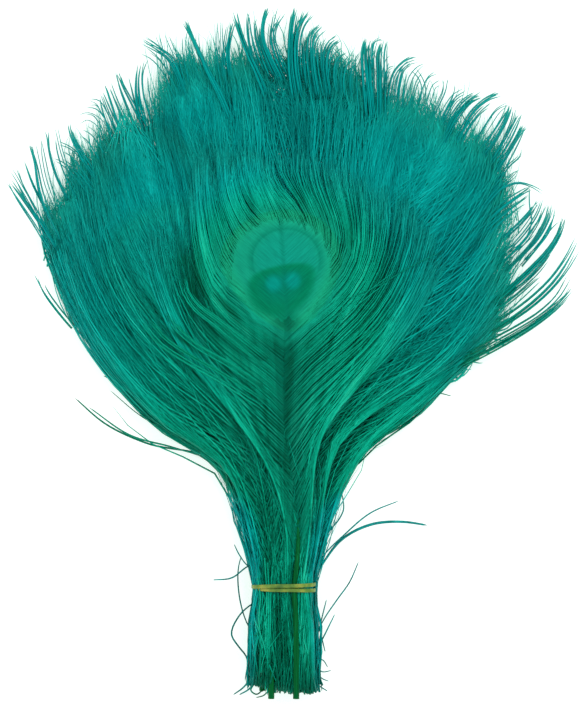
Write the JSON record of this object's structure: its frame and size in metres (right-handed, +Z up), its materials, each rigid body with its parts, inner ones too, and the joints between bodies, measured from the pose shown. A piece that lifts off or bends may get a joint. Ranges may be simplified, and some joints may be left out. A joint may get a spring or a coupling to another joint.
{
  "type": "bunch of peacock feathers",
  "caption": "Flat fan-shaped bunch of dyed peacock eye feathers, tied near the cut quill ends with a doubled rubber band; lies on a surface as a decoration or craft supply.",
  "frame": {"origin": "on the table, under the middle of the bunch's box", "axes": "+Y along the bunch, from the cut quill ends towards the tips of the fan; +Z up, towards the front feather's eye; +X to the right as seen from above with the fan away from the viewer"},
  "size_m": [0.2356, 0.2898, 0.0205],
  "materials": {
    "dyed_feather": "matte",
    "latex_band": "satin"
  },
  "bodies": {
    "root": {"feather_01": "dyed_feather", "feather_02": "dyed_feather", "feather_03": "dyed_feather", "feather_04": "dyed_feather", "feather_05": "dyed_feather", "feather_06": "dyed_feather", "feather_07": "dyed_feather", "feather_08": "dyed_feather", "feather_09": "dyed_feather", "feather_10": "dyed_feather", "feather_11": "dyed_feather", "feather_12": "dyed_feather", "rubber_band": "latex_band"}
  },
  "joints": []
}
